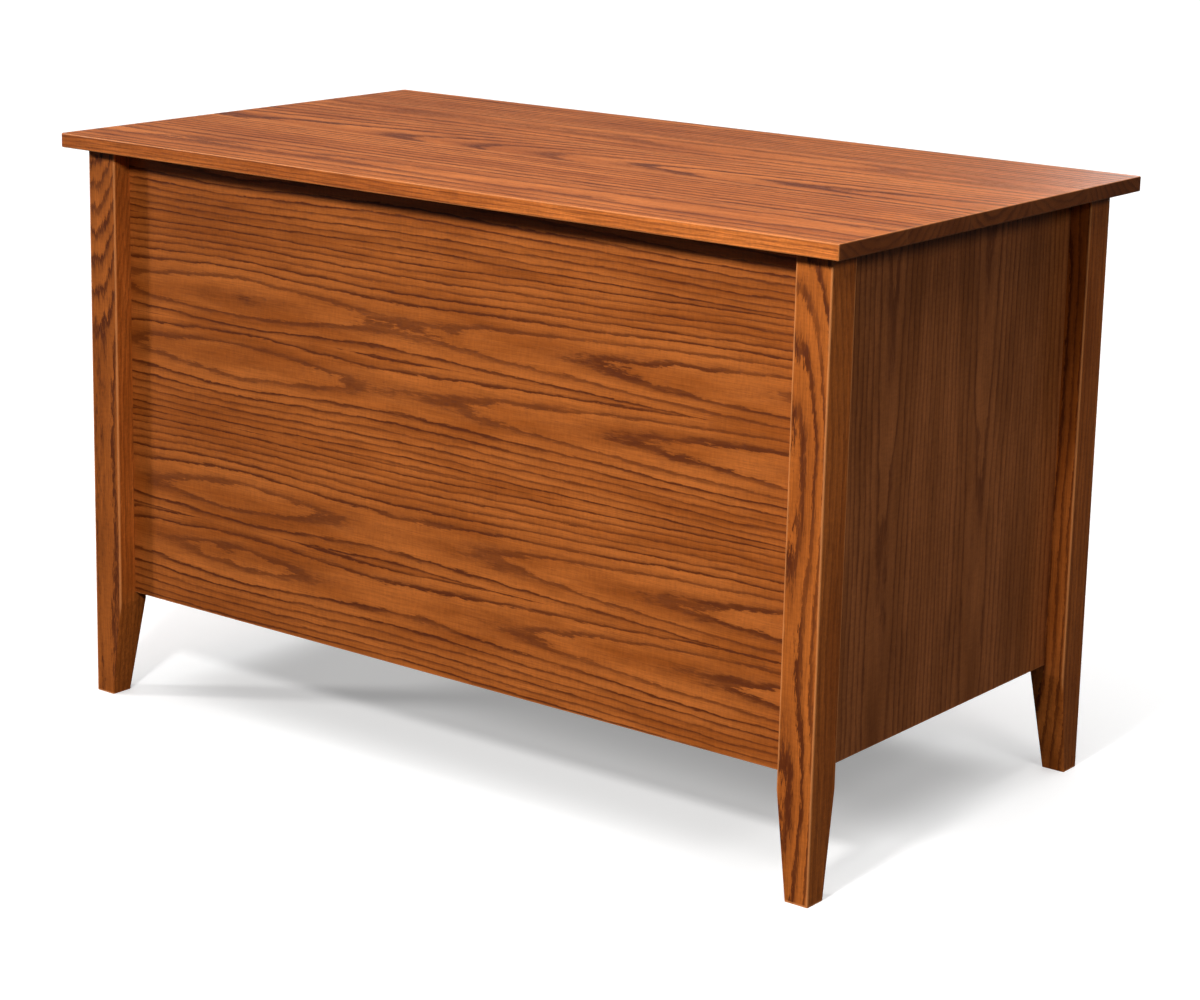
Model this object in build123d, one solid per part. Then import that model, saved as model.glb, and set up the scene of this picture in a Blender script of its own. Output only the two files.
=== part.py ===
from build123d import *
import os

# A blanket chest in stained oak: four square posts with tapered feet, flat
# panels tongued into them, a glued-up board lid on three friction hinges.
# Millimetres. +Z is up, +X along the chest's length, -Y is the front.
# The origin is on the floor, under the middle of the lid.

# Lid
lid_length = 965.0
lid_depth = 543.0
lid_thickness = 15.0
lid_boards = 5
lid_corner_round = 2.0
lid_edge_round = 1.2
overhang_side = 19.0
overhang_front = 21.0
overhang_back = 26.0

# Height of the closed chest, and the air between the posts and the lid
overall_height = 611.0
lid_gap = 1.5

# Posts: square, with the two inner faces tapered down to the foot
post_size = 38.0
foot_size = 25.0
taper_height = 104.0
post_edge_round = 1.0

# Panels: flush with the posts inside, set back from them outside
panel_thickness = 16.0
panel_bottom = 113.0
panel_edge_round = 0.8
tongue_thickness = 6.0
tongue_length = 7.0
tongue_inset = 2.0
groove_clearance = 0.5

# Rail that carries the hinges, above the back panel
rail_height = 45.0
rail_dowel_radius = 5.0
rail_dowel_length = 50.0
rail_dowel_edge = 12.0

# Bottom panel and the cleats that it rests on
cleat_size = 19.0
cleat_rise = 4.0
cleat_clearance = 0.5
bottom_thickness = 12.0
bottom_clearance = 0.5
bottom_screw_inset = 9.5

# Screws through the cleats: how many, and how far along the cleat they reach
long_cleat_screws = 5
long_cleat_reach = 0.9
short_cleat_screws = 3
short_cleat_reach = 0.8
bottom_screws = 4
bottom_screw_reach = 0.75

# Battens that keep the lid flat, and the dowels between its boards
batten_width = 45.0
batten_thickness = 19.0
batten_offset = 270.0
batten_end_gap = 10.0
batten_chamfer = 3.0
batten_screw_inset = 18.0
lid_dowel_radius = 3.0
lid_dowel_length = 30.0
lid_dowels_per_joint = 5
lid_dowel_inset = 96.5

# Friction hinges
hinge_width = 76.0
hinge_offset = 320.0
barrel_radius = 5.5
barrel_gap = 0.5
pin_radius = 2.5
pin_fit = 0.02
pin_run = 0.05
pin_cap_radius = 4.0
pin_cap_length = 2.0
sleeve_radius = 3.9
sleeve_fit = 0.02
leaf_thickness = 2.0
leaf_reach = 32.0
leaf_corner = 4.0
leaf_rail_gap = 1.0
knuckles = 5
knuckle_gap = 0.4
leaf_screw_spacing = 26.0
leaf_screw_stagger = 4.0

# Countersunk wood screws: length, shank radius, head radius, head height
leaf_screw = (14.0, 1.9, 3.5, 1.6)
cleat_screw = (28.0, 1.9, 3.5, 1.6)
batten_screw = (30.0, 2.1, 3.9, 1.8)
bottom_screw = (25.0, 1.6, 3.1, 1.5)
driver_slot = 0.8
driver_depth = 0.9
driver_cross_ratio = 1.2
point_ratio = 2.0
pilot_extra = 0.5

# Dowels end short of their holes
dowel_end_gap = 0.5

# Felt pads on the posts' tops, under the lid
pad_radius = 7.0
pad_clearance = 0.1

# How far a cutting shape runs past what it cuts, and how straight up a post's
# long arrises run (the Z part of their direction)
cut_past = 1.0
nearly_upright = 0.9

# Places worked out from the sizes above
lid_underside = overall_height - lid_thickness
post_top = lid_underside - lid_gap
outer_x = lid_length / 2 - overhang_side
front_y = overhang_front - lid_depth / 2
back_y = lid_depth / 2 - overhang_back
inner_x = outer_x - post_size
inner_front_y = front_y + post_size
inner_back_y = back_y - post_size
inner_mid_y = (inner_front_y + inner_back_y) / 2
cleat_bottom = panel_bottom + cleat_rise
cleat_top = cleat_bottom + cleat_size
floor_top = cleat_top + bottom_thickness
rail_top = lid_underside - leaf_thickness - leaf_rail_gap
rail_bottom = rail_top - rail_height
pin_y = back_y + barrel_radius + barrel_gap
pin_z = lid_underside - barrel_radius - barrel_gap
hinge_names = {"left": -hinge_offset, "middle": 0.0, "right": hinge_offset}
side_signs = {"left": -1, "right": 1}


def block(x0, x1, y0, y1, z0, z1):
    """A box between two corners."""
    centre = Pos((x0 + x1) / 2, (y0 + y1) / 2, (z0 + z1) / 2)
    return centre * Box(abs(x1 - x0), abs(y1 - y0), abs(z1 - z0))


def rod(radius, length, place):
    """A cylinder centred on a place, along that place's own Z axis."""
    return place * Cylinder(radius, length)


def group(solids):
    """Separate solids kept together as one named piece."""
    return Compound(children=list(solids))


def spaced(low, high, count):
    """Evenly spaced values from low to high."""
    return [low + (high - low) * step / (count - 1) for step in range(count)]


def screw(kind):
    """A countersunk screw, its head's flat face at Z 0 and its point below."""
    length, shank, head, head_height = kind
    point = shank * point_ratio
    profile = Polyline(
        (0, 0),
        (head, 0),
        (shank, -head_height),
        (shank, point - length),
        (0, -length),
        close=True,
    )
    body = revolve(Plane.XZ * make_face(profile), Axis.Z)
    cross_length = head * driver_cross_ratio
    slot = Pos(0, 0, -driver_depth / 2) * Box(cross_length, driver_slot, driver_depth)
    cross = slot + Rot(0, 0, 90) * slot
    return body - cross


def screw_hole(kind):
    """The space that a countersunk screw fills, a little deeper than its point."""
    length, shank, head, head_height = kind
    cone = Pos(0, 0, -head_height / 2) * Cone(shank, head, head_height)
    depth = length + pilot_extra
    return cone + Pos(0, 0, -depth / 2) * Cylinder(shank, depth)


def placed(shape, places):
    """The same shape put at each place."""
    return [place * shape for place in places]


def cut(part, tools):
    """A part with every tool taken out of it, one after another."""
    for tool in tools:
        part = part - tool
    return part


# Where each kind of screw goes. A place's Z axis points out of the head.
def leaf_rows():
    """X offset and stagger of each screw of one leaf."""
    offsets = (-leaf_screw_spacing, 0.0, leaf_screw_spacing)
    staggers = (leaf_screw_stagger, -leaf_screw_stagger, leaf_screw_stagger)
    return list(zip(offsets, staggers))


def leaf_middle():
    """Distance from the pin to the middle of a leaf's flat."""
    return (leaf_reach + barrel_radius + knuckle_gap) / 2


def chest_leaf_screw_places():
    back = back_y + leaf_thickness
    places = []
    for centre in hinge_names.values():
        for offset, stagger in leaf_rows():
            spot = Pos(centre + offset, back, pin_z - leaf_middle() + stagger)
            places.append(spot * Rot(-90, 0, 0))
    return places


def lid_leaf_screw_places():
    low = lid_underside - leaf_thickness
    places = []
    for centre in hinge_names.values():
        for offset, stagger in leaf_rows():
            spot = Pos(centre + offset, pin_y - leaf_middle() + stagger, low)
            places.append(spot * Rot(180, 0, 0))
    return places


def batten_screw_places():
    low = lid_underside - batten_thickness
    start = inner_front_y + batten_end_gap + batten_screw_inset
    end = inner_back_y - batten_end_gap - batten_screw_inset
    places = []
    for sign in side_signs.values():
        for y in spaced(start, end, lid_boards):
            places.append(Pos(sign * batten_offset, y, low) * Rot(180, 0, 0))
    return places


def cleat_screw_places():
    height = cleat_bottom + cleat_size / 2
    reach_x = inner_x - cleat_size
    reach_y = (inner_back_y - inner_front_y) / 2 - cleat_size
    places = []
    long_end = inner_x * long_cleat_reach
    for x in spaced(-long_end, long_end, long_cleat_screws):
        places.append(Pos(x, inner_front_y + cleat_size, height) * Rot(-90, 0, 0))
        places.append(Pos(x, inner_back_y - cleat_size, height) * Rot(90, 0, 0))
    for step in spaced(-short_cleat_reach, short_cleat_reach, short_cleat_screws):
        y = inner_mid_y + step * reach_y
        places.append(Pos(-reach_x, y, height) * Rot(0, 90, 0))
        places.append(Pos(reach_x, y, height) * Rot(0, -90, 0))
    return places


def bottom_screw_places():
    end = inner_x * bottom_screw_reach
    places = []
    for y in (inner_front_y + bottom_screw_inset, inner_back_y - bottom_screw_inset):
        for x in spaced(-end, end, bottom_screws):
            places.append(Pos(x, y, floor_top))
    return places


def rail_dowel_places():
    middle_y = (inner_back_y + back_y) / 2
    places = []
    for sign in side_signs.values():
        for z in (rail_bottom + rail_dowel_edge, rail_top - rail_dowel_edge):
            places.append(Pos(sign * inner_x, middle_y, z) * Rot(0, 90, 0))
    return places


def lid_joint_lines():
    """Y of each glue line between two boards of the lid."""
    return spaced(-lid_depth / 2, lid_depth / 2, lid_boards + 1)[1:-1]


def lid_dowel_places():
    end = lid_length / 2 - lid_dowel_inset
    places = []
    for y in lid_joint_lines():
        for x in spaced(-end, end, lid_dowels_per_joint):
            spot = Pos(x, y, lid_underside + lid_thickness / 2)
            places.append(spot * Rot(90, 0, 0))
    return places


# Carcass
def post_blank(sign_x, sign_y):
    """A square post with its two inner faces tapered below, outer corner kept."""
    edge_x = sign_x * outer_x
    edge_y = back_y if sign_y > 0 else front_y

    def outline(edge, sign):
        return [
            (edge, 0),
            (edge - sign * foot_size, 0),
            (edge - sign * post_size, taper_height),
            (edge - sign * post_size, post_top),
            (edge, post_top),
        ]

    face_x = make_face(Polyline(*outline(edge_x, sign_x), close=True))
    face_y = make_face(Polyline(*outline(edge_y, sign_y), close=True))
    along_y = extrude(Plane.XZ * face_x, amount=lid_depth, both=True)
    along_x = extrude(Plane.YZ * face_y, amount=lid_length, both=True)
    blank = along_y & along_x
    arrises = [edge for edge in blank.edges() if abs(edge.tangent_at(0.5).Z) > nearly_upright]
    return fillet(arrises, post_edge_round)


def end_groove(sign_x, sign_y):
    """Groove in a post for the end of the front or back panel."""
    depth = tongue_length + groove_clearance
    face_y = (back_y if sign_y > 0 else front_y) - sign_y * panel_setback()
    near = face_y - sign_y * tongue_inset
    far = near - sign_y * tongue_thickness
    top = rail_bottom if sign_y > 0 else post_top
    return block(
        sign_x * inner_x, sign_x * (inner_x + depth), near, far, panel_bottom, top
    )


def side_groove(sign_x, sign_y):
    """Groove in a post for the edge of a side panel."""
    depth = tongue_length + groove_clearance
    inner_y = inner_back_y if sign_y > 0 else inner_front_y
    far = outer_x - panel_setback() - tongue_inset
    near = far - tongue_thickness
    return block(
        sign_x * near, sign_x * far, inner_y, inner_y + sign_y * depth, panel_bottom, post_top
    )


def panel_setback():
    """How far the panels' outer faces stand back from the posts' outer faces."""
    return post_size - panel_thickness


def post(sign_x, sign_y):
    body = post_blank(sign_x, sign_y)
    body = body - end_groove(sign_x, sign_y) - side_groove(sign_x, sign_y)
    if sign_y > 0:
        body = cut(body, rail_dowel_holes(sign_x))
    return body


def rail_dowel_holes(sign_x):
    """Dowel holes in one end of the rail and the post beside it."""
    length = rail_dowel_length + 2 * dowel_end_gap
    holes = [rod(rail_dowel_radius, length, place) for place in rail_dowel_places()]
    return [hole for hole in holes if hole.center().X * sign_x > 0]


def eased(body, direction, radius):
    """A panel with its long arrises along one axis softened."""
    return fillet(body.edges().filter_by(direction), radius)


def front_panel():
    outer = front_y + panel_setback()
    body = block(-inner_x, inner_x, outer, inner_front_y, panel_bottom, post_top)
    body = eased(body, Axis.X, panel_edge_round)
    near = outer + tongue_inset
    far = near + tongue_thickness
    reach = inner_x + tongue_length
    tongue = block(-reach, reach, near, far, panel_bottom, post_top)
    return cut(body + tongue, cleat_pilots())


def back_panel():
    outer = back_y - panel_setback()
    body = block(-inner_x, inner_x, inner_back_y, outer, panel_bottom, rail_bottom)
    near = outer - tongue_inset
    far = near - tongue_thickness
    reach = inner_x + tongue_length
    tongue = block(-reach, reach, near, far, panel_bottom, rail_bottom)
    top_tongue = block(
        -inner_x, inner_x, near, far, rail_bottom, rail_bottom + tongue_length
    )
    return cut(body + tongue + top_tongue, cleat_pilots())


def side_panel(sign):
    outer = outer_x - panel_setback()
    body = block(
        sign * inner_x, sign * outer, inner_front_y, inner_back_y, panel_bottom, post_top
    )
    body = eased(body, Axis.Y, panel_edge_round)
    far = outer - tongue_inset
    near = far - tongue_thickness
    tongue = block(
        sign * near,
        sign * far,
        inner_front_y - tongue_length,
        inner_back_y + tongue_length,
        panel_bottom,
        post_top,
    )
    return cut(body + tongue, cleat_pilots())


def hinge_rail():
    body = block(-inner_x, inner_x, inner_back_y, back_y, rail_bottom, rail_top)
    body = eased(body, Axis.X, panel_edge_round)
    near = back_y - panel_setback() - tongue_inset
    groove = block(
        -inner_x,
        inner_x,
        near - tongue_thickness,
        near,
        rail_bottom,
        rail_bottom + tongue_length + groove_clearance,
    )
    holes = rail_dowel_holes(-1) + rail_dowel_holes(1)
    screws = placed(screw_hole(leaf_screw), chest_leaf_screw_places())
    return cut(body - groove, holes + screws)


def rail_dowels():
    return group(
        rod(rail_dowel_radius, rail_dowel_length, place) for place in rail_dowel_places()
    )


# Floor of the chest
def cleat_pilots():
    return placed(screw_hole(cleat_screw), cleat_screw_places())


def bottom_pilots():
    return placed(screw_hole(bottom_screw), bottom_screw_places())


def long_cleat(sign):
    wall = inner_back_y if sign > 0 else inner_front_y
    reach = inner_x - cleat_clearance
    body = block(-reach, reach, wall, wall - sign * cleat_size, cleat_bottom, cleat_top)
    return cut(body, cleat_pilots() + bottom_pilots())


def short_cleat(sign):
    start = inner_front_y + cleat_size + cleat_clearance
    end = inner_back_y - cleat_size - cleat_clearance
    body = block(
        sign * inner_x, sign * (inner_x - cleat_size), start, end, cleat_bottom, cleat_top
    )
    return cut(body, cleat_pilots())


def bottom_panel():
    body = block(
        bottom_clearance - inner_x,
        inner_x - bottom_clearance,
        inner_front_y + bottom_clearance,
        inner_back_y - bottom_clearance,
        cleat_top,
        floor_top,
    )
    return cut(body, bottom_pilots())


# Lid
def lid_slab():
    """The whole lid before it is divided into its boards."""
    middle = Pos(0, 0, lid_underside + lid_thickness / 2)
    slab = middle * Box(lid_length, lid_depth, lid_thickness)
    slab = fillet(slab.edges().filter_by(Axis.Z), lid_corner_round)
    rim = slab.faces().sort_by(Axis.Z)[-1].edges() + slab.faces().sort_by(Axis.Z)[0].edges()
    slab = fillet(rim, lid_edge_round)
    holes = placed(screw_hole(leaf_screw), lid_leaf_screw_places())
    holes += placed(screw_hole(batten_screw), batten_screw_places())
    length = lid_dowel_length + 2 * dowel_end_gap
    holes += [rod(lid_dowel_radius, length, place) for place in lid_dowel_places()]
    return cut(slab, holes)


def lid_board_nodes():
    """Each board of the lid by name, from front to back."""
    slab = lid_slab()
    lines = spaced(-lid_depth / 2, lid_depth / 2, lid_boards + 1)
    boards = {}
    for number, (front, back) in enumerate(zip(lines, lines[1:]), start=1):
        low = lid_underside - cut_past
        high = overall_height + cut_past
        strip = block(-lid_length, lid_length, front, back, low, high)
        boards[f"lid_board_{number}"] = slab & strip
    return boards


def lid_dowels():
    return group(
        rod(lid_dowel_radius, lid_dowel_length, place) for place in lid_dowel_places()
    )


def batten(sign):
    middle = sign * batten_offset
    body = block(
        middle - batten_width / 2,
        middle + batten_width / 2,
        inner_front_y + batten_end_gap,
        inner_back_y - batten_end_gap,
        lid_underside - batten_thickness,
        lid_underside,
    )
    body = chamfer(body.faces().sort_by(Axis.Z)[0].edges(), batten_chamfer)
    return cut(body, placed(screw_hole(batten_screw), batten_screw_places()))


# Hinges
def knuckle_spans(parity):
    """X start and end of every second knuckle, measured from the hinge's middle."""
    pitch = hinge_width / knuckles
    start = -hinge_width / 2
    spans = []
    for number in range(parity, knuckles, 2):
        low = start + number * pitch + (knuckle_gap / 2 if number else 0)
        last = number == knuckles - 1
        high = start + (number + 1) * pitch - (0 if last else knuckle_gap / 2)
        spans.append((low, high))
    return spans


def knuckle(centre, span, bore):
    """One knuckle of a hinge, bored for what passes through it."""
    low, high = span
    spot = Pos(centre + (low + high) / 2, pin_y, pin_z) * Rot(0, 90, 0)
    return spot * (Cylinder(barrel_radius, high - low) - Cylinder(bore, high - low))


def clear_of_bore(body, centre, bore):
    """A leaf with the pin's passage kept open through its tabs."""
    spot = Pos(centre, pin_y, pin_z) * Rot(0, 90, 0)
    return body - spot * Cylinder(bore, hinge_width + cut_past)


def chest_leaf(centre):
    """Upright leaf on the rail's back face, with the outer and middle knuckles."""
    root = barrel_radius + knuckle_gap
    half = hinge_width / 2
    plate = block(
        centre - half, centre + half, back_y, back_y + leaf_thickness, pin_z - leaf_reach, pin_z - root
    )
    plate = fillet(plate.edges().filter_by(Axis.Y).group_by(Axis.Z)[0], leaf_corner)
    spans = knuckle_spans(0)
    bore = pin_radius + pin_fit
    for low, high in spans:
        plate += block(
            centre + low, centre + high, back_y, back_y + leaf_thickness, pin_z - root, pin_z
        )
    for span in spans:
        plate += knuckle(centre, span, bore)
    plate = clear_of_bore(plate, centre, bore)
    return cut(plate, placed(screw_hole(leaf_screw), chest_leaf_screw_places()))


def lid_leaf(centre):
    """Flat leaf under the lid, with the two knuckles that hold the sleeves."""
    root = barrel_radius + knuckle_gap
    half = hinge_width / 2
    low_z = lid_underside - leaf_thickness
    plate = block(
        centre - half, centre + half, pin_y - leaf_reach, pin_y - root, low_z, lid_underside
    )
    plate = fillet(plate.edges().filter_by(Axis.Z).group_by(Axis.Y)[0], leaf_corner)
    spans = knuckle_spans(1)
    bore = sleeve_radius + sleeve_fit
    for low, high in spans:
        plate += block(centre + low, centre + high, pin_y - root, pin_y, low_z, lid_underside)
    for span in spans:
        plate += knuckle(centre, span, bore)
    plate = clear_of_bore(plate, centre, bore)
    return cut(plate, placed(screw_hole(leaf_screw), lid_leaf_screw_places()))


def hinge_pin(centre):
    """Pin with a button cap at each end."""
    axis = Pos(centre, pin_y, pin_z) * Rot(0, 90, 0)
    pin = axis * Cylinder(pin_radius, hinge_width + 2 * knuckle_gap)
    for side in (-1, 1):
        end = side * (hinge_width / 2 + knuckle_gap + pin_cap_length / 2)
        cap = Cylinder(pin_cap_radius, pin_cap_length)
        rim = cap.faces().sort_by(Axis.Z)[-1 if side > 0 else 0].edges()
        cap = fillet(rim, pin_cap_length / 2)
        pin += axis * Pos(0, 0, end) * cap
    return pin


def friction_sleeves(centre):
    """The two sleeves that grip the pin inside the lid leaf's knuckles."""
    sleeves = []
    for low, high in knuckle_spans(1):
        spot = Pos(centre + (low + high) / 2, pin_y, pin_z) * Rot(0, 90, 0)
        tube = Cylinder(sleeve_radius, high - low) - Cylinder(pin_radius + pin_run, high - low)
        sleeves.append(spot * tube)
    return group(sleeves)


def bumper_pads():
    thickness = lid_gap - pad_clearance
    pads = []
    for sign in side_signs.values():
        for y in (front_y + post_size / 2, back_y - post_size / 2):
            spot = Pos(sign * (outer_x - post_size / 2), y, post_top + thickness / 2)
            pads.append(rod(pad_radius, thickness, spot))
    return group(pads)


def all_nodes():
    """Every piece of the chest by name."""
    nodes = {
        "front_panel": front_panel(),
        "back_panel": back_panel(),
        "hinge_rail": hinge_rail(),
        "hinge_rail_dowels": rail_dowels(),
        "cleat_front": long_cleat(-1),
        "cleat_back": long_cleat(1),
        "cleat_screws": group(placed(screw(cleat_screw), cleat_screw_places())),
        "bottom_panel": bottom_panel(),
        "bottom_screws": group(placed(screw(bottom_screw), bottom_screw_places())),
        "lid_dowels": lid_dowels(),
        "batten_screws": group(placed(screw(batten_screw), batten_screw_places())),
        "hinge_chest_screws": group(placed(screw(leaf_screw), chest_leaf_screw_places())),
        "hinge_lid_screws": group(placed(screw(leaf_screw), lid_leaf_screw_places())),
        "bumper_pads": bumper_pads(),
    }
    for side, sign in side_signs.items():
        nodes[f"post_front_{side}"] = post(sign, -1)
        nodes[f"post_back_{side}"] = post(sign, 1)
        nodes[f"side_panel_{side}"] = side_panel(sign)
        nodes[f"cleat_{side}"] = short_cleat(sign)
        nodes[f"batten_{side}"] = batten(sign)
    for name, centre in hinge_names.items():
        nodes[f"hinge_chest_leaf_{name}"] = chest_leaf(centre)
        nodes[f"hinge_lid_leaf_{name}"] = lid_leaf(centre)
        nodes[f"hinge_pin_{name}"] = hinge_pin(centre)
        nodes[f"hinge_sleeves_{name}"] = friction_sleeves(centre)
    nodes.update(lid_board_nodes())
    return nodes


os.makedirs("parts", exist_ok=True)
for node_name, shape in all_nodes().items():
    shape.label = node_name
    export_step(shape, f"parts/{node_name}.step")
    print(node_name)
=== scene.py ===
import math

import bpy
from mathutils import Matrix, Vector


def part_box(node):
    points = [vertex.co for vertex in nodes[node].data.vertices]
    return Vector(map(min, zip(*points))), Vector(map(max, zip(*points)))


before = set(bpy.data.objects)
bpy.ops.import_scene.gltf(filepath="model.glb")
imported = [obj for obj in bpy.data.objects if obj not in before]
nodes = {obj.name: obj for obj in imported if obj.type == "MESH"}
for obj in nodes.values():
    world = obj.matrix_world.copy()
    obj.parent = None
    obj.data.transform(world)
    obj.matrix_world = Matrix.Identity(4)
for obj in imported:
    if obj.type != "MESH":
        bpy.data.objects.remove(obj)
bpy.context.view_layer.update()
mm = 0.001
print("frame loaded:", len(nodes), "pieces")


# helpers that add nodes
def feed(tree, socket, value):
    # a socket is linked, anything else is set on the input itself
    if isinstance(value, bpy.types.NodeSocket):
        tree.links.new(value, socket)
    else:
        socket.default_value = value


def addNode(tree, kind, inputs=None, **settings):
    node = tree.nodes.new(kind)
    for key, value in settings.items():
        setattr(node, key, value)
    for key, value in (inputs or {}).items():
        feed(tree, node.inputs[key], value)
    return node


def calc(tree, operation, *values):
    node = addNode(tree, "ShaderNodeMath", operation=operation)
    for socket, value in zip(node.inputs, values):
        feed(tree, socket, value)
    return node.outputs[0]


def vector(tree, operation, *values):
    node = addNode(tree, "ShaderNodeVectorMath", operation=operation)
    for socket, value in zip(node.inputs, values):
        feed(tree, socket, value)
    return node.outputs[0]


def dot(tree, first, second):
    node = addNode(tree, "ShaderNodeVectorMath", {0: first, 1: second}, operation="DOT_PRODUCT")
    return node.outputs["Value"]


def parts(tree, value):
    return addNode(tree, "ShaderNodeSeparateXYZ", {"Vector": value}).outputs


def together(tree, x, y, z):
    return addNode(tree, "ShaderNodeCombineXYZ", {"X": x, "Y": y, "Z": z}).outputs[0]


def ramp(tree, value, low, high, lowOut=0.0, highOut=1.0):
    # value eases from lowOut at low to highOut at high
    inputs = {"Value": value, "From Min": low, "From Max": high, "To Min": lowOut, "To Max": highOut}
    return addNode(tree, "ShaderNodeMapRange", inputs, interpolation_type="SMOOTHSTEP").outputs["Result"]


def sway(tree, value, amount, around):
    # around + amount * (value - 0.5): a noise turned into a push either way
    return calc(tree, "MULTIPLY_ADD", calc(tree, "SUBTRACT", value, 0.5), amount, around)


def blend(tree, mask, first, second, mode="MIX"):
    node = addNode(tree, "ShaderNodeMix", data_type="RGBA", blend_type=mode)
    for place, value in ((0, mask), (6, first), (7, second)):
        feed(tree, node.inputs[place], value)
    return node.outputs[2]


def lookNoise(tree, place, look):
    # look is a cloud's length along each axis in mm, then its detail and its roughness
    first, second, third, detail, roughness = look
    scaled = vector(tree, "DIVIDE", place, (first * mm, second * mm, third * mm))
    inputs = {"Vector": scaled, "Scale": 1.0, "Detail": detail, "Roughness": roughness}
    return addNode(tree, "ShaderNodeTexNoise", inputs, noise_dimensions="3D").outputs[0]


def lineNoise(tree, value, scale, detail=1.0):
    inputs = {"W": value, "Scale": scale, "Detail": detail}
    return addNode(tree, "ShaderNodeTexNoise", inputs, noise_dimensions="1D").outputs[0]


def handCurve(tree, value, points):
    # a soft curve through drawn points, both ways from 0 to 1
    node = addNode(tree, "ShaderNodeFloatCurve", {"Value": value})
    curve = node.mapping.curves[0]
    for point in points[1:-1]:
        curve.points.new(*point)
    curve.points[0].location = points[0]
    curve.points[len(points) - 1].location = points[-1]
    node.mapping.update()
    return node.outputs[0]


def newGroup(name, inputs, outputs):
    # inputs and outputs hold the labels of each kind of socket
    group = bpy.data.node_groups.new(name, "ShaderNodeTree")
    for inOut, sockets in (("INPUT", inputs), ("OUTPUT", outputs)):
        for kind, labels in sockets.items():
            for label in labels.split():
                group.interface.new_socket(name=label, in_out=inOut, socket_type="NodeSocket" + kind)
    return group, group.nodes.new("NodeGroupInput").outputs, group.nodes.new("NodeGroupOutput").inputs


def useGroup(tree, group, inputs):
    return addNode(tree, "ShaderNodeGroup", inputs, node_tree=group).outputs


def newMaterial(name):
    material = bpy.data.materials.new(name)
    material.use_nodes = True
    tree = material.node_tree
    return material, tree, tree.nodes["Principled BSDF"]


def addRelief(tree, shader, height, strength, depth):
    bump = addNode(tree, "ShaderNodeBump", {"Height": height, "Strength": strength, "Distance": depth})
    feed(tree, shader.inputs["Normal"], bump.outputs[0])


def dress(node, material):
    nodes[node].data.materials.clear()
    nodes[node].data.materials.append(material)


# wood effects, one node group each
ringLook = {
    # how dark one growth ring is, from its porous start to its plain end
    "profile": (
        (0.0, 0.85), (0.05, 1.0), (0.15, 0.92), (0.26, 0.42),
        (0.45, 0.16), (0.84, 0.0), (0.95, 0.12), (1.0, 0.85)),
    # noises that push the lines about, from broad bends to ragged ends, as lookNoise reads them
    "waver": (150, 26, 26, 1.0, 0.5),
    "wobble": (34, 6.5, 6.5, 2.0, 0.55),
    "feather": (8, 0.9, 0.9, 2.0, 0.6),
    # noises that change the wood's colour
    "fading": (120, 9, 9, 2.0, 0.5),
    "pore": (9, 0.55, 0.55, 1.0, 0.5),
    "streak": (45, 1.1, 1.1, 3.0, 0.65),
    "cloud": (260, 38, 38, 3.0, 0.55),
    "patch": (70, 12, 12, 3.0, 0.6),
    "shimmer": (2.6, 11, 5, 2.0, 0.6),
    "unevenScale": 0.31,  # how fast ring widths change from ring to ring
    "lineLead": 0.3,  # a line's own strength starts this part of a ring before it
    "strengthStep": 3.7,  # sets neighbouring lines apart
    # from and to on the noise, then the values there
    "strengthRamp": (0.3, 0.6, 0.72, 1.0),
    "fadingRamp": (0.3, 0.55, 0.7, 1.0),
    "poreRamp": (0.0, 0.9, 0.63, 0.53),  # pores crowd where the ring is dark
    "poreEdge": 0.09,
}


def makeOakRings():
    # ring number = distance from the heart line over the ring width, pushed about by noise;
    # each ring starts with a dark porous line that fades to plain wood
    group, given, out = newGroup(
        "oakRings",
        {"Vector": "Place", "Float": "Depth Heart Ring Uneven Waver Wobble Feather Bold Seed"},
        {"Float": "Rings Pores Tone Patch Streak Shimmer"},
    )
    look = ringLook
    seed = given["Seed"]
    place = vector(group, "ADD", given["Place"], together(group, seed, seed, seed))
    split = parts(group, given["Place"])
    across = calc(group, "SUBTRACT", split[1], given["Heart"])
    down = calc(group, "SUBTRACT", given["Depth"], split[2])
    squares = calc(group, "MULTIPLY", across, across), calc(group, "MULTIPLY", down, down)
    radius = calc(group, "SQRT", calc(group, "ADD", *squares))
    phase = calc(group, "DIVIDE", radius, given["Ring"])
    uneven = lineNoise(group, calc(group, "ADD", phase, seed), look["unevenScale"])
    phase = sway(group, uneven, given["Uneven"], phase)
    phase = sway(group, lookNoise(group, place, look["waver"]), given["Waver"], phase)
    phase = sway(group, lookNoise(group, place, look["wobble"]), given["Wobble"], phase)
    phase = sway(group, lookNoise(group, place, look["feather"]), given["Feather"], phase)
    number = calc(group, "FLOOR", calc(group, "ADD", phase, look["lineLead"]))
    strength = lineNoise(group, calc(group, "MULTIPLY_ADD", number, look["strengthStep"], seed), 1.0, 0.0)
    strength = ramp(group, strength, *look["strengthRamp"])
    fading = ramp(group, lookNoise(group, place, look["fading"]), *look["fadingRamp"])
    # a bold above 1 widens the dark start of the ring
    within = calc(group, "POWER", calc(group, "FRACT", phase), given["Bold"])
    profile = handCurve(group, within, look["profile"])
    rings = calc(group, "MULTIPLY", calc(group, "MULTIPLY", profile, strength), fading)
    group.links.new(rings, out["Rings"])
    pores = lookNoise(group, place, look["pore"])
    threshold = ramp(group, profile, *look["poreRamp"])
    full = calc(group, "ADD", threshold, look["poreEdge"])
    group.links.new(ramp(group, pores, threshold, full), out["Pores"])
    clouds = {"Tone": "cloud", "Patch": "patch", "Streak": "streak", "Shimmer": "shimmer"}
    for output, name in clouds.items():
        group.links.new(lookNoise(group, place, look[name]), out[output])
    return group


# how thick a leaf is sliced, and how wide the seam between two leaves looks
leafLook = {"shift": 0.5 * mm, "jointWidth": 0.35 * mm}


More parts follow.
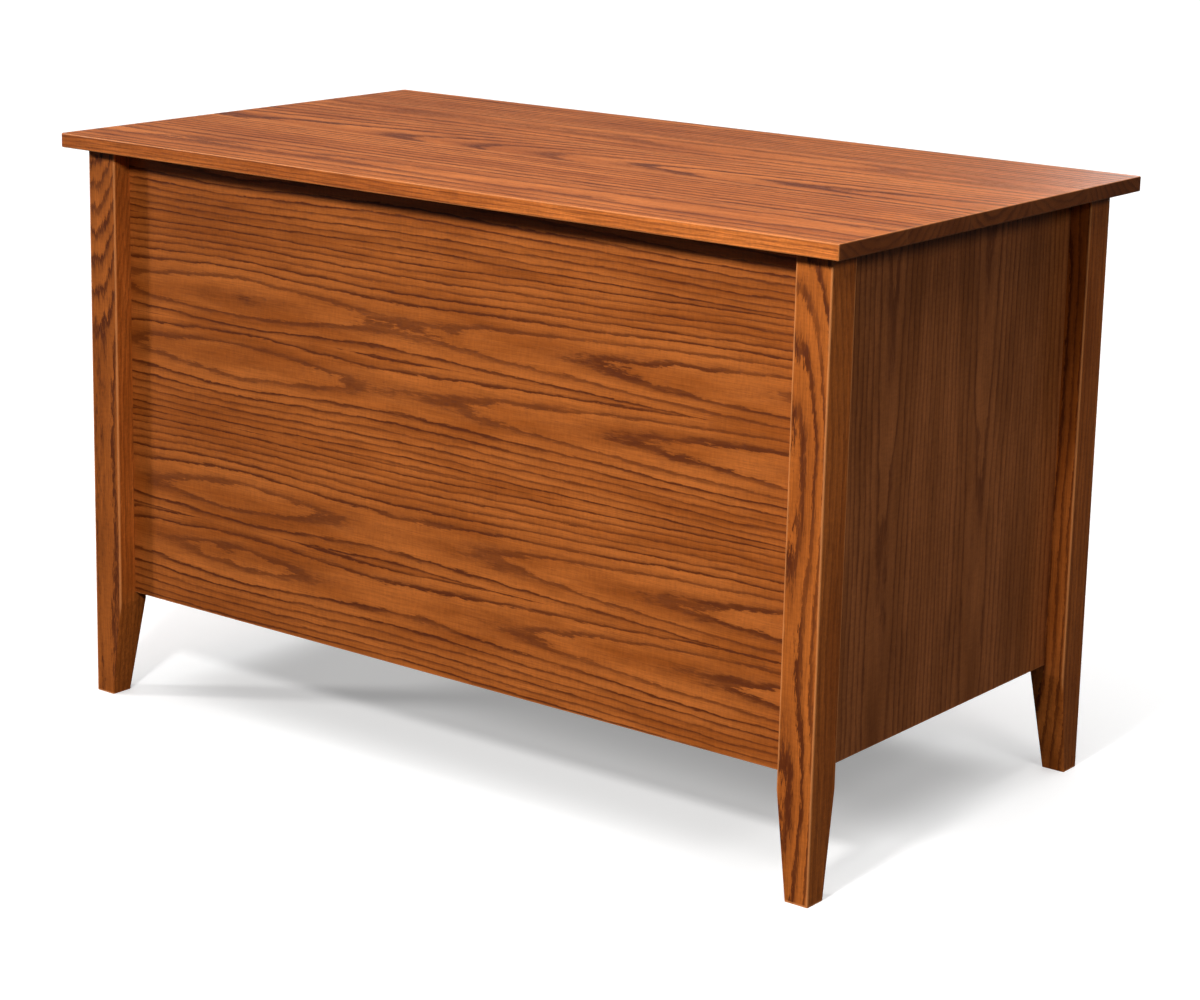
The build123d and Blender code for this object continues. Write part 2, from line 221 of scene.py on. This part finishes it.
def makeVeneerLeaves():
    # leaves of veneer turned over side by side, so the figure mirrors at every seam
    group, given, out = newGroup(
        "veneerLeaves",
        {"Vector": "Place", "Float": "Width Seam"},
        {"Vector": "Place", "Float": "Leaf Joint"},
    )
    split = parts(group, given["Place"])
    across = calc(group, "SUBTRACT", split[1], given["Seam"])
    folded = calc(group, "PINGPONG", across, given["Width"])
    leaf = calc(group, "FLOOR", calc(group, "DIVIDE", across, given["Width"]))
    depth = calc(group, "MULTIPLY_ADD", leaf, leafLook["shift"], split[2])
    group.links.new(together(group, split[0], folded, depth), out["Place"])
    group.links.new(leaf, out["Leaf"])
    gap = calc(group, "MINIMUM", folded, calc(group, "SUBTRACT", given["Width"], folded))
    group.links.new(ramp(group, gap, 0.0, leafLook["jointWidth"], 1.0, 0.0), out["Joint"])
    return group


# the width of the edge's wear and painted highlight runs from low to low + vary of its full size, and is
# whole over its first part
wearHighlightLook = {"ragged": (30, 30, 30, 4.0, 0.7), "vary": 1.1, "low": 0.45, "whole": 0.35}


def makeEdgeWearHighlight():
    # 1 on the arrises of a box, for rubbed stain and a painted highlight: the second smallest distance to
    # its faces, under a ragged width
    group, given, out = newGroup(
        "edgeWearHighlight",
        {"Vector": "Place Centre Half", "Float": "Width"},
        {"Float": "Wear"},
    )
    reach = vector(group, "ABSOLUTE", vector(group, "SUBTRACT", given["Place"], given["Centre"]))
    gaps = parts(group, vector(group, "SUBTRACT", given["Half"], reach))
    lowPair = calc(group, "MINIMUM", gaps[0], gaps[1])
    highPair = calc(group, "MAXIMUM", gaps[0], gaps[1])
    second = calc(group, "MAXIMUM", lowPair, calc(group, "MINIMUM", highPair, gaps[2]))
    look = wearHighlightLook
    ragged = lookNoise(group, given["Place"], look["ragged"])
    share = calc(group, "MULTIPLY_ADD", ragged, look["vary"], look["low"])
    width = calc(group, "MULTIPLY", given["Width"], share)
    whole = calc(group, "MULTIPLY", width, look["whole"])
    group.links.new(ramp(group, second, whole, width, 1.0, 0.0), out["Wear"])
    return group


stainLook = {
    "toneRamp": (0.30, 0.70), "patch": 0.9,  # where the light stain turns to the warm one
    "shimmer": 0.45, "endSoak": 0.8, "ringDip": 0.55,
}


def makeStainedWood():
    # stain soaks into the porous lines and the end grain, and sits lightly on the plain wood
    group, given, out = newGroup(
        "stainedWood",
        {
            "Color": "Light Warm Line End Worn",
            "Float": "Rings Pores Tone Patch Streak Shimmer Wear EndGrain Lift LineStrength "
                     "PoreStrength StreakStrength",
        },
        {"Color": "Color", "Float": "Height"},
    )
    # broad clouds with smaller patches inside them
    look = stainLook
    clouds = ramp(group, given["Tone"], *look["toneRamp"])
    mask = sway(group, given["Patch"], look["patch"], clouds)
    colour = blend(group, mask, given["Light"], given["Warm"])
    value = sway(group, given["Streak"], given["StreakStrength"], 1.0)
    value = sway(group, given["Shimmer"], look["shimmer"], value)
    colour = addNode(group, "ShaderNodeHueSaturation", {"Color": colour, "Value": value}).outputs[0]
    for soaked, strength in (("Rings", "LineStrength"), ("Pores", "PoreStrength")):
        mask = calc(group, "MULTIPLY", given[soaked], given[strength])
        colour = blend(group, mask, colour, given["Line"])
    # edges take the worn colour: rubbed stain with a painted highlight along the arrises
    colour = blend(group, given["Wear"], colour, given["Worn"])
    colour = blend(group, calc(group, "MULTIPLY", given["EndGrain"], look["endSoak"]), colour, given["End"])
    # painted light: the narrow faces' colour is lifted or lowered
    colour = addNode(group, "ShaderNodeHueSaturation", {"Color": colour, "Value": given["Lift"]}).outputs[0]
    group.links.new(colour, out["Color"])
    dips = calc(group, "MAXIMUM", calc(group, "MULTIPLY", given["Rings"], look["ringDip"]), given["Pores"])
    group.links.new(calc(group, "SUBTRACT", 1.0, dips), out["Height"])
    return group


oakRings = makeOakRings()
veneerLeaves = makeVeneerLeaves()
edgeWearHighlight = makeEdgeWearHighlight()
stainedWood = makeStainedWood()
print("wood groups made")


# stains
stainedOak = {
    "light": (0.475, 0.131, 0.0235, 1.0),
    "warm": (0.305, 0.073, 0.0090, 1.0),
    "line": (0.090, 0.0165, 0.0030, 1.0),
    "end": (0.095, 0.026, 0.0070, 1.0),
    # the edge colour: rubbed stain with a painted highlight in it
    "worn": (0.700, 0.260, 0.0800, 1.0),
    "lineStrength": 0.95, "poreStrength": 0.3, "streakStrength": 1.0,
    "wearHighlightStrength": 0.55, "wearHighlightWidth": 1.6 * mm,
    # how a board's narrow faces differ from its broad ones; the first scales their colour as painted light
    "edgePaintedLight": 0.0, "edgeCalm": 0.0, "edgeStreak": 0.4,
    "ring": 6.2 * mm, "uneven": 0.3, "waver": 0.5, "wobble": 0.5, "feather": 0.3, "bold": 1.0,
    "inward": 1.0,  # 1 where the heart lies behind the face, -1 where it lies before it
    "roughness": 0.32, "roughPores": 0.22, "roughTone": 0.12, "sheen": 0.22,
    "bump": 0.35, "bumpDepth": 0.12 * mm, "seamDark": 0.35,
}

paleWood = {
    **stainedOak,
    "light": (0.50, 0.255, 0.090, 1.0),
    "warm": (0.39, 0.185, 0.060, 1.0),
    "line": (0.25, 0.112, 0.036, 1.0),
    "end": (0.30, 0.165, 0.075, 1.0),
    "worn": (0.66, 0.44, 0.24, 1.0),
    "lineStrength": 0.5, "poreStrength": 0.2, "wearHighlightStrength": 0.3, "roughness": 0.55,
}

depthRange = 100 * mm  # the drawn curves run from 0 to this depth
faceTurn = (0.6, 0.8)  # a face counts as end grain or edge as its normal passes from one to the other


def placeAlong(tree, axes, origin, inward):
    # Object coordinates as along, across and through the board, with masks for its ends and edges
    coordinates = addNode(tree, "ShaderNodeTexCoord")
    split = parts(tree, vector(tree, "SUBTRACT", coordinates.outputs["Object"], tuple(origin)))
    place = together(tree, split[axes[0]], split[axes[1]], calc(tree, "MULTIPLY", split[axes[2]], inward))
    normal = parts(tree, coordinates.outputs["Normal"])
    endGrain = ramp(tree, calc(tree, "ABSOLUTE", normal[axes[0]]), *faceTurn)
    edge = ramp(tree, calc(tree, "ABSOLUTE", normal[axes[1]]), *faceTurn)
    return place, coordinates.outputs["Object"], endGrain, edge


def paintWood(node, look):
    # figure: (fraction of the length, depth of the heart line in mm) points of a drawn curve
    material, tree, shader = newMaterial(node + "_grain")
    low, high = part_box(node)
    axes = look["axes"]
    place, coordinates, endGrain, edge = placeAlong(tree, axes, look["origin"], look["inward"])
    length = high[axes[0]] - low[axes[0]]
    joint = 0.0
    depthStep = 0.0
    if "leafWidth" in look:
        leafInputs = {"Place": place, "Width": look["leafWidth"], "Seam": look["seam"]}
        leaves = useGroup(tree, veneerLeaves, leafInputs)
        place = leaves["Place"]
        joint = leaves["Joint"]
        depthStep = calc(tree, "MULTIPLY", leaves["Leaf"], look["leafStep"])
    along = parts(tree, place)[0]
    start = look["origin"][axes[0]] - low[axes[0]]
    fraction = calc(tree, "DIVIDE", calc(tree, "ADD", along, start), length)
    drawn = handCurve(tree, fraction, [(at, depth * mm / depthRange) for at, depth in look["figure"]])
    depth = calc(tree, "MULTIPLY_ADD", drawn, depthRange, depthStep)
    heart = calc(tree, "MULTIPLY_ADD", along, look.get("heartSlope", 0.0), look["heart"])
    # rings lie closer together along the board's edges
    edgeStep = look.get("edgeRing", look["ring"]) - look["ring"]
    ring = calc(tree, "MULTIPLY_ADD", edge, edgeStep, look["ring"])
    rings = useGroup(tree, oakRings, {
        "Place": place, "Depth": depth, "Heart": heart, "Ring": ring,
        **{label: look[label.lower()]
           for label in ("Uneven", "Waver", "Wobble", "Feather", "Bold", "Seed")}})
    wearHighlight = useGroup(tree, edgeWearHighlight, {
        "Place": coordinates, "Centre": tuple((low + high) / 2), "Half": tuple((high - low) / 2),
        "Width": look["wearHighlightWidth"]})["Wear"]
    wood = useGroup(tree, stainedWood, {
        **{label: look[label.lower()] for label in ("Light", "Warm", "Line", "End", "Worn")},
        **{name: rings[name] for name in ("Rings", "Pores", "Tone", "Patch", "Streak", "Shimmer")},
        "Wear": calc(tree, "MULTIPLY", wearHighlight, look["wearHighlightStrength"]), "EndGrain": endGrain,
        "Lift": calc(tree, "MULTIPLY_ADD", edge, look["edgePaintedLight"], 1.0),
        "LineStrength": calc(tree, "MULTIPLY_ADD", edge, -look["edgeCalm"], look["lineStrength"]),
        "PoreStrength": look["poreStrength"],
        "StreakStrength": calc(tree, "MULTIPLY_ADD", edge, look["edgeStreak"], look["streakStrength"])})
    seam = calc(tree, "MULTIPLY", joint, look["seamDark"])
    feed(tree, shader.inputs["Base Color"], blend(tree, seam, wood["Color"], look["line"]))
    roughness = calc(tree, "MULTIPLY_ADD", rings["Pores"], look["roughPores"], look["roughness"])
    feed(tree, shader.inputs["Roughness"], sway(tree, rings["Tone"], look["roughTone"], roughness))
    shader.inputs["Specular IOR Level"].default_value = look["sheen"]
    addRelief(tree, shader, wood["Height"], look["bump"], look["bumpDepth"])
    dress(node, material)


# front: leaves run along the chest, an eye at the left end and a peak opening to the right
longPanels = {
    "leafWidth": 105.4 * mm, "leafStep": -0.8 * mm, "seamDown": 169 * mm, "heart": 33 * mm,
    "figure": (
        (0.0, 37.0), (0.06, 35.0), (0.188, 32.2), (0.32, 35.0), (0.43, 37.4),
        (0.59, 34.8), (0.75, 31.0), (0.83, 28.6), (1.0, 25.6)),
}
sidePanels = {
    # painted shade and sheen: the side panels' light and warm colours are darker and greyer than the
    # front's, as the shaded side with its grey sheen
    "light": (0.430, 0.136, 0.0370, 1.0), "warm": (0.280, 0.083, 0.0190, 1.0),
    "lineStrength": 0.6, "waver": 1.0,
    "leafWidth": 170 * mm, "leafStep": 1.2 * mm, "seamBack": 190 * mm, "heart": 85 * mm,
    "figure": ((0.0, 39.0), (0.3, 38.6), (0.5, 37.2), (0.75, 33.5), (0.92, 31.0), (1.0, 30.3)),
}


def paintPanels():
    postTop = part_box("post_front_left")[1].z
    for node, seed in (("front_panel", 0.0), ("back_panel", 3.7)):
        low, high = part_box(node)
        face = low.y if node == "front_panel" else high.y
        paintWood(node, {
            **stainedOak, **longPanels, "axes": (0, 2, 1), "origin": (0.0, face, postTop),
            "seam": -longPanels["seamDown"], "seed": seed})
    for node, seed in (("side_panel_left", 11.0), ("side_panel_right", 16.1)):
        low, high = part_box(node)
        face = low.x if node == "side_panel_left" else high.x
        paintWood(node, {
            **stainedOak, **sidePanels, "axes": (2, 1, 0), "origin": (face, low.y, low.z),
            "seam": sidePanels["seamBack"], "seed": seed})


postLooks = {
    "post_front_left": {
        "figure": (
            (0.0, 93.0), (0.3, 92.6), (0.6, 92.2), (0.67, 90.5),
            (0.76, 83.0), (0.86, 71.0), (0.93, 61.0), (1.0, 51.0)),
        # painted light: the side faces, the reveal beside the front panel among them, are lifted as painted
        # bounce light, and the light and warm colours are darker than the front right post's as painted
        # shade where the lamps fall off
        "heart": -17 * mm, "seed": 3.1, "bold": 1.3, "edgePaintedLight": 0.4, "wobble": 0.9, "feather": 0.9,
        "light": (0.440, 0.118, 0.0195, 1.0), "warm": (0.315, 0.078, 0.0105, 1.0)},
    "post_front_right": {
        "figure": (
            (0.0, 27.0), (0.08, 25.0), (0.16, 22.4), (0.24, 24.5), (0.38, 28.4), (0.48, 26.5),
            (0.56, 22.8), (0.65, 21.9), (0.735, 22.6), (0.80, 27.0), (0.9, 34.0), (1.0, 45.0)),
        "heart": -13 * mm, "ring": 7.5 * mm, "bold": 1.35, "waver": 0.35, "seed": 8.4,
        "light": (0.480, 0.128, 0.0200, 1.0), "warm": (0.370, 0.092, 0.0125, 1.0)},
    "post_back_left": {
        "figure": ((0.0, 52.0), (0.3, 50.0), (0.6, 52.0), (1.0, 46.0)), "heart": 30 * mm, "seed": 5.2},
    "post_back_right": {
        "figure": ((0.0, 50.0), (0.4, 53.0), (0.7, 50.0), (1.0, 52.0)), "heart": -34 * mm, "seed": 9.9},
}
# posts get wider, stronger edge wear, which also paints the highlight along their arrises
postOak = {
    **stainedOak, "ring": 6.0 * mm, "wobble": 0.6, "waver": 0.9, "feather": 0.6, "bold": 1.2,
    "streakStrength": 1.1, "inward": -1.0, "edgeCalm": 0.6, "wearHighlightWidth": 2.4 * mm, "wearHighlightStrength": 0.7,
}


def paintPosts():
    for node, look in postLooks.items():
        low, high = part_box(node)
        origin = ((low.x + high.x) / 2, low.y, 0.0)
        paintWood(node, {**postOak, "axes": (2, 0, 1), "origin": origin, **look})


# lid boards from front to back; the middle one carries the row of peaks
lidLooks = (
    {"figure": ((0.0, 62.0), (0.2, 63.6), (0.5, 61.5), (1.0, 60.0)), "heart": 12 * mm, "lineStrength": 0.75,
     "seed": 21.7},
    {"figure": ((0.0, 50.0), (0.5, 54.0), (1.0, 51.0)), "heart": -80 * mm, "seed": 23.4},
    {"figure": ((0.0, 89.0), (0.064, 88.0), (0.28, 77.0), (0.385, 66.0),
                (0.49, 55.0), (0.615, 44.0), (0.82, 33.0), (1.0, 27.0)),
     "heart": -27 * mm, "heartSlope": 0.032, "ring": 11 * mm, "seed": 25.1},
    {"figure": ((0.0, 61.0), (0.3, 64.5), (0.6, 61.0), (1.0, 65.0)), "heart": 14 * mm, "lineStrength": 0.75,
     "seed": 26.8},
    {"figure": ((0.0, 54.0), (0.5, 50.0), (1.0, 53.0)), "heart": 75 * mm, "seed": 28.5},
)
# painted light: the lid's light and warm colours are brighter than the panels', standing in for the extra
# light on its top; its front and back edges are lowered a little from that
lidOak = {
    **stainedOak, "light": (0.640, 0.182, 0.0360, 1.0), "warm": (0.400, 0.098, 0.0165, 1.0),
    "line": (0.120, 0.022, 0.0045, 1.0), "ring": 9 * mm, "bold": 1.15, "streakStrength": 1.2,
    "edgePaintedLight": -0.04, "edgeCalm": 0.2, "edgeRing": 3.2 * mm, "edgeStreak": 0.9, "waver": 0.7,
}


def paintLid():
    for number, look in enumerate(lidLooks, start=1):
        node = f"lid_board_{number}"
        low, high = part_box(node)
        paintWood(node, {
            **lidOak, "axes": (0, 1, 2), "origin": (0.0, (low.y + high.y) / 2, high.z), **look})


# stain, grain axes and first seed of each row of inside pieces
insideLooks = (
    (paleWood, (0, 1, 2), 31.0, ("cleat_front", "cleat_back", "bottom_panel")),
    (paleWood, (1, 0, 2), 41.0, ("cleat_left", "cleat_right", "batten_left", "batten_right")),
    (paleWood, (1, 0, 2), 61.0, ("lid_dowels",)),
    (paleWood, (0, 1, 2), 62.0, ("hinge_rail_dowels",)),
    (stainedOak, (0, 2, 1), 51.0, ("hinge_rail",)),
)
insideFigure = {"figure": ((0.0, 60.0), (0.5, 64.0), (1.0, 58.0)), "heart": 24 * mm}


def paintInside():
    for stain, axes, firstSeed, names in insideLooks:
        for number, node in enumerate(names):
            low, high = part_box(node)
            paintWood(node, {
                **stain, **insideFigure, "axes": axes, "origin": tuple((low + high) / 2),
                "seed": firstSeed + number})


paintPanels()
paintPosts()
paintLid()
paintInside()
print("wood painted")


# hinges, screws and pads
tarnishLook = {
    "cloud": (14, 14, 14, 4.0, 0.62), "scratch": (0.5, 0.5, 0.5, 2.0, 0.6), "dullRamp": (0.36, 0.64),
    "scratchColour": 0.5, "scratchRough": 0.2, "dullRough": 0.25, "bump": 0.12, "bumpDepth": 0.05 * mm,
}


def makeHandledMetal():
    # dark where air and hands have dulled it, bright along fine scratches
    group, given, out = newGroup(
        "handledMetal",
        {"Vector": "Place Rub", "Color": "Clean Dull", "Float": "DullAmount Roughness"},
        {"Color": "Color", "Float": "Roughness Height"},
    )
    place = given["Place"]
    look = tarnishLook
    clouds = lookNoise(group, place, look["cloud"])
    scratches = lookNoise(group, vector(group, "MULTIPLY", place, given["Rub"]), look["scratch"])
    dull = calc(group, "MULTIPLY", ramp(group, clouds, *look["dullRamp"]), given["DullAmount"])
    dull = sway(group, scratches, look["scratchColour"], dull)
    group.links.new(blend(group, dull, given["Clean"], given["Dull"]), out["Color"])
    rough = calc(group, "MULTIPLY_ADD", dull, look["dullRough"], given["Roughness"])
    group.links.new(sway(group, scratches, look["scratchRough"], rough), out["Roughness"])
    group.links.new(scratches, out["Height"])
    return group


handledMetal = makeHandledMetal()
metalLooks = {
    "agedBronze": {"clean": (0.30, 0.18, 0.085, 1.0), "dull": (0.13, 0.078, 0.042, 1.0), "dullAmount": 0.7,
                   "roughness": 0.33, "rub": (0.06, 1.0, 1.0)},
    "brassHeads": {"clean": (0.62, 0.42, 0.19, 1.0), "dull": (0.30, 0.19, 0.09, 1.0), "dullAmount": 0.5,
                   "roughness": 0.28, "rub": (0.5, 0.5, 1.0)},
    "pinSteel": {"clean": (0.60, 0.59, 0.57, 1.0), "dull": (0.32, 0.31, 0.30, 1.0), "dullAmount": 0.5,
                 "roughness": 0.24, "rub": (1.0, 0.08, 0.08)},
    "zincPlate": {"clean": (0.66, 0.65, 0.60, 1.0), "dull": (0.42, 0.40, 0.34, 1.0), "dullAmount": 0.6,
                  "roughness": 0.30, "rub": (0.4, 0.4, 1.0)},
}


def makeMetal(name, look):
    material, tree, shader = newMaterial(name)
    place = addNode(tree, "ShaderNodeTexCoord").outputs["Object"]
    metal = useGroup(tree, handledMetal, {
        "Place": place, "Clean": look["clean"], "Dull": look["dull"], "Rub": look["rub"],
        "DullAmount": look["dullAmount"], "Roughness": look["roughness"]})
    feed(tree, shader.inputs["Base Color"], metal["Color"])
    feed(tree, shader.inputs["Roughness"], metal["Roughness"])
    shader.inputs["Metallic"].default_value = 1.0
    addRelief(tree, shader, metal["Height"], tarnishLook["bump"], tarnishLook["bumpDepth"])
    return material


softLooks = {
    "mouldedPolymer": {"colour": (0.030, 0.030, 0.032, 1.0), "other": (0.055, 0.054, 0.055, 1.0),
                       "fine": (0.7, 0.7, 0.7, 3.0, 0.65), "roughness": 0.42, "sheen": 0.0, "bump": 0.15},
    "brownFelt": {"colour": (0.085, 0.050, 0.030, 1.0), "other": (0.22, 0.15, 0.10, 1.0),
                  "fine": (0.45, 0.45, 0.45, 3.0, 0.65), "roughness": 0.95, "sheen": 0.5, "bump": 0.9},
}
# what both soft finishes share
mottleLook = {
    "broad": (9, 9, 9, 2.0, 0.5), "broadPush": 0.8, "fineRamp": (0.3, 0.7), "roughPush": 0.15,
    "bumpDepth": 0.2 * mm,
}


def makeSoft(name, look):
    material, tree, shader = newMaterial(name)
    place = addNode(tree, "ShaderNodeTexCoord").outputs["Object"]
    fine = lookNoise(tree, place, look["fine"])
    broad = lookNoise(tree, place, mottleLook["broad"])
    mask = sway(tree, broad, mottleLook["broadPush"], ramp(tree, fine, *mottleLook["fineRamp"]))
    feed(tree, shader.inputs["Base Color"], blend(tree, mask, look["colour"], look["other"]))
    feed(tree, shader.inputs["Roughness"], sway(tree, fine, mottleLook["roughPush"], look["roughness"]))
    shader.inputs["Sheen Weight"].default_value = look["sheen"]
    addRelief(tree, shader, fine, look["bump"], mottleLook["bumpDepth"])
    return material


def paintHardware():
    finishes = {name: makeMetal(name, look) for name, look in metalLooks.items()}
    finishes.update({name: makeSoft(name, look) for name, look in softLooks.items()})
    painted = {
        "brassHeads": ["hinge_chest_screws", "hinge_lid_screws"],
        "agedBronze": [], "pinSteel": [], "mouldedPolymer": [],
        "zincPlate": ["cleat_screws", "bottom_screws", "batten_screws"],
        "brownFelt": ["bumper_pads"],
    }
    for place in ("left", "middle", "right"):
        painted["agedBronze"] += ["hinge_chest_leaf_" + place, "hinge_lid_leaf_" + place]
        painted["pinSteel"].append("hinge_pin_" + place)
        painted["mouldedPolymer"].append("hinge_sleeves_" + place)
    for finish, names in painted.items():
        for name in names:
            dress(name, finishes[finish])


paintHardware()
print("hardware painted")


# floor, light and camera
floorLook = {
    "size": 40.0, "glow": (0.3, 0.3, 0.3, 1.0), "seen": (0.82, 0.82, 0.82, 1.0),
    "bounce": (0.045, 0.045, 0.045, 1.0), "roughness": 0.9, "sheen": 0.1,
}


def buildFloor():
    half = floorLook["size"] / 2
    mesh = bpy.data.meshes.new("studioFloor")
    corners = [(-half, -half, 0), (half, -half, 0), (half, half, 0), (-half, half, 0)]
    mesh.from_pydata(corners, [], [(0, 1, 2, 3)])
    floor = bpy.data.objects.new("studioFloor", mesh)
    bpy.context.scene.collection.objects.link(floor)
    material, tree, shader = newMaterial("paleFloor")
    seen = addNode(tree, "ShaderNodeLightPath").outputs["Is Camera Ray"]
    feed(tree, shader.inputs["Base Color"], blend(tree, seen, floorLook["bounce"], floorLook["seen"]))
    feed(tree, shader.inputs["Emission Color"], blend(tree, seen, (0.0, 0.0, 0.0, 1.0), floorLook["glow"]))
    shader.inputs["Emission Strength"].default_value = 1.0
    shader.inputs["Roughness"].default_value = floorLook["roughness"]
    shader.inputs["Specular IOR Level"].default_value = floorLook["sheen"]
    mesh.materials.append(material)


lightLook = {
    # far lamps are suns, in degrees round and up; near ones fall off across the chest
    "farLamps": {
        "leftLamp": {"turn": 53.0, "rise": 18.5, "spread": 8.0, "strength": 1.7},
        "backLamp": {"turn": 165.0, "rise": 8.0, "spread": 25.0, "strength": 0.55},
    },
    "nearLamps": {
        "frontLamp": {
            "place": (0.55, -1.85, 1.50), "aim": (0.38, -0.25, 0.55), "size": 0.26, "power": 28.0},
        "sideLamp": {
            "place": (1.80, -0.35, 1.34), "aim": (0.46, -0.05, 0.50), "size": 0.45, "power": 5.7},
    },
    "lampColour": (1.0, 0.99, 0.98),
    "domeLow": 45.0, "domeHigh": 65.0, "dome": 2.3, "horizon": 0.005, "seen": 1.0,
    "backdrop": 0.16, "backdropSide": (-0.64, 0.77, 0.0), "backdropRamp": (0.3, 0.9),
}


def addLamp(name, kind, place, aim, colour):
    data = bpy.data.lights.new(name, kind)
    data.color = colour
    lamp = bpy.data.objects.new(name, data)
    bpy.context.scene.collection.objects.link(lamp)
    lamp.location = place
    lamp.rotation_euler = (Vector(aim) - Vector(place)).to_track_quat("-Z", "Y").to_euler()
    lamp.visible_camera = False
    return data


def buildLights():
    for name, lampLook in lightLook["farLamps"].items():
        turn, rise = math.radians(lampLook["turn"]), math.radians(lampLook["rise"])
        toward = (-math.cos(rise) * math.sin(turn), -math.cos(rise) * math.cos(turn), math.sin(rise))
        data = addLamp(name, "SUN", toward, (0.0, 0.0, 0.0), lightLook["lampColour"])
        data.energy = lampLook["strength"]
        data.angle = math.radians(lampLook["spread"])
    for name, lampLook in lightLook["nearLamps"].items():
        data = addLamp(name, "AREA", lampLook["place"], lampLook["aim"], lightLook["lampColour"])
        data.shape = "DISK"
        data.size = lampLook["size"]
        data.energy = lampLook["power"]
    look = lightLook
    # overhead dome, dark low down, with a pale backdrop behind the chest
    world = bpy.data.worlds.new("studioWorld")
    bpy.context.scene.world = world
    world.use_nodes = True
    tree = world.node_tree
    direction = addNode(tree, "ShaderNodeTexCoord").outputs["Generated"]
    rise = parts(tree, direction)[2]
    low, high = math.sin(math.radians(look["domeLow"])), math.sin(math.radians(look["domeHigh"]))
    dome = ramp(tree, rise, low, high, look["horizon"], look["dome"])
    facing = dot(tree, direction, look["backdropSide"])
    behind = ramp(tree, facing, *look["backdropRamp"], 0.0, look["backdrop"])
    glow = calc(tree, "MAXIMUM", dome, behind)
    seen = addNode(tree, "ShaderNodeLightPath").outputs["Is Camera Ray"]
    feed(tree, tree.nodes["Background"].inputs["Strength"], ramp(tree, seen, 0.0, 1.0, glow, look["seen"]))
    tree.nodes["Background"].inputs["Color"].default_value = (1.0, 1.0, 1.0, 1.0)


cameraLook = {
    "place": (1.807, -2.340, 1.032), "turn": 0.6758, "tilt": -0.2269, "roll": 0.0168,
    "sensor": 36.0, "lens": 88.0, "shiftX": 0.06, "shiftY": -0.08,
}


def buildCamera():
    data = bpy.data.cameras.new("studioCamera")
    data.sensor_width = cameraLook["sensor"]
    data.lens = cameraLook["lens"]
    data.shift_x = cameraLook["shiftX"]
    data.shift_y = cameraLook["shiftY"]
    camera = bpy.data.objects.new("studioCamera", data)
    bpy.context.scene.collection.objects.link(camera)
    turn = Matrix.Rotation(cameraLook["turn"], 4, "Z")
    tilt = Matrix.Rotation(math.pi / 2 + cameraLook["tilt"], 4, "X")
    roll = Matrix.Rotation(cameraLook["roll"], 4, "Z")
    camera.matrix_world = Matrix.Translation(cameraLook["place"]) @ turn @ tilt @ roll
    bpy.context.scene.camera = camera


buildFloor()
buildLights()
buildCamera()
bpy.context.scene.view_settings.view_transform = "Standard"
print("stage set")
